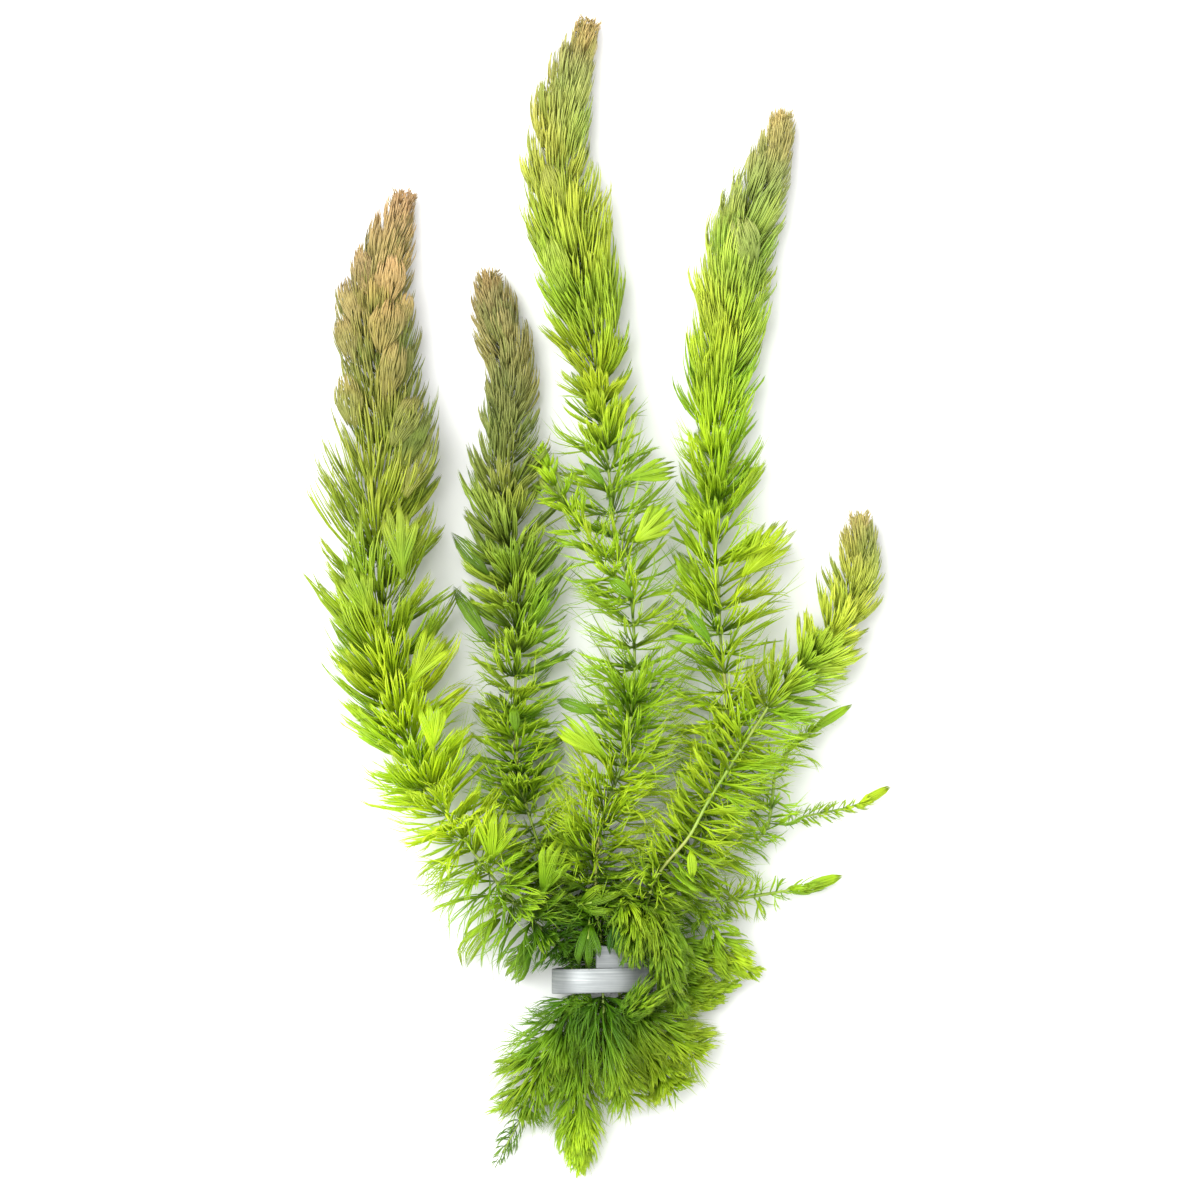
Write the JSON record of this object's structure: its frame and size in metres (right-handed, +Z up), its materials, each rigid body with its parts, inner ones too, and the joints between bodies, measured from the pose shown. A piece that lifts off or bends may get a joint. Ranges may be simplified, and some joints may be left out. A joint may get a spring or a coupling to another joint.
{
  "type": "hornwort bunch",
  "caption": "Cut bunch of hornwort lying flat: feathery shoots of whorled forked needle leaves, held together near their cut ends by a wound lead weight strip.",
  "frame": {"origin": "in the flat underside of the weight strip, on the surface that the bunch lies on", "axes": "+Y from the cut ends towards the growing tips, +Z up from the surface, +X to the right as the camera sees the bunch from above"},
  "size_m": [0.1464, 0.2903, 0.033],
  "materials": {
    "foliage_olive": "wet olive-green foliage, satin",
    "foliage_lime": "wet lime-green foliage, satin",
    "foliage_dark": "wet dark-green foliage, satin",
    "lead": "dull satin silver-grey lead"
  },
  "bodies": {
    "root": {"weight_strip": "lead", "shoot_left": "foliage_olive", "shoot_inner_left": "foliage_olive", "shoot_centre": "foliage_lime", "shoot_inner_right": "foliage_lime", "shoot_right": "foliage_lime", "side_shoot_left_front": "foliage_lime", "side_shoot_middle_front": "foliage_lime", "side_shoot_across_front": "foliage_lime", "side_shoot_over_strip": "foliage_lime", "side_shoot_left_low": "foliage_lime", "side_shoot_left_under": "foliage_lime", "side_shoot_right_upper": "foliage_lime", "side_shoot_right_tip": "foliage_lime", "side_shoot_right_low": "foliage_lime", "side_shoot_drooping": "foliage_lime", "side_shoot_beside_strip": "foliage_lime", "side_shoot_right_front": "foliage_lime", "side_shoot_bud": "foliage_lime", "side_shoot_centre": "foliage_lime", "side_shoot_cut_end": "foliage_dark"}
  },
  "joints": []
}
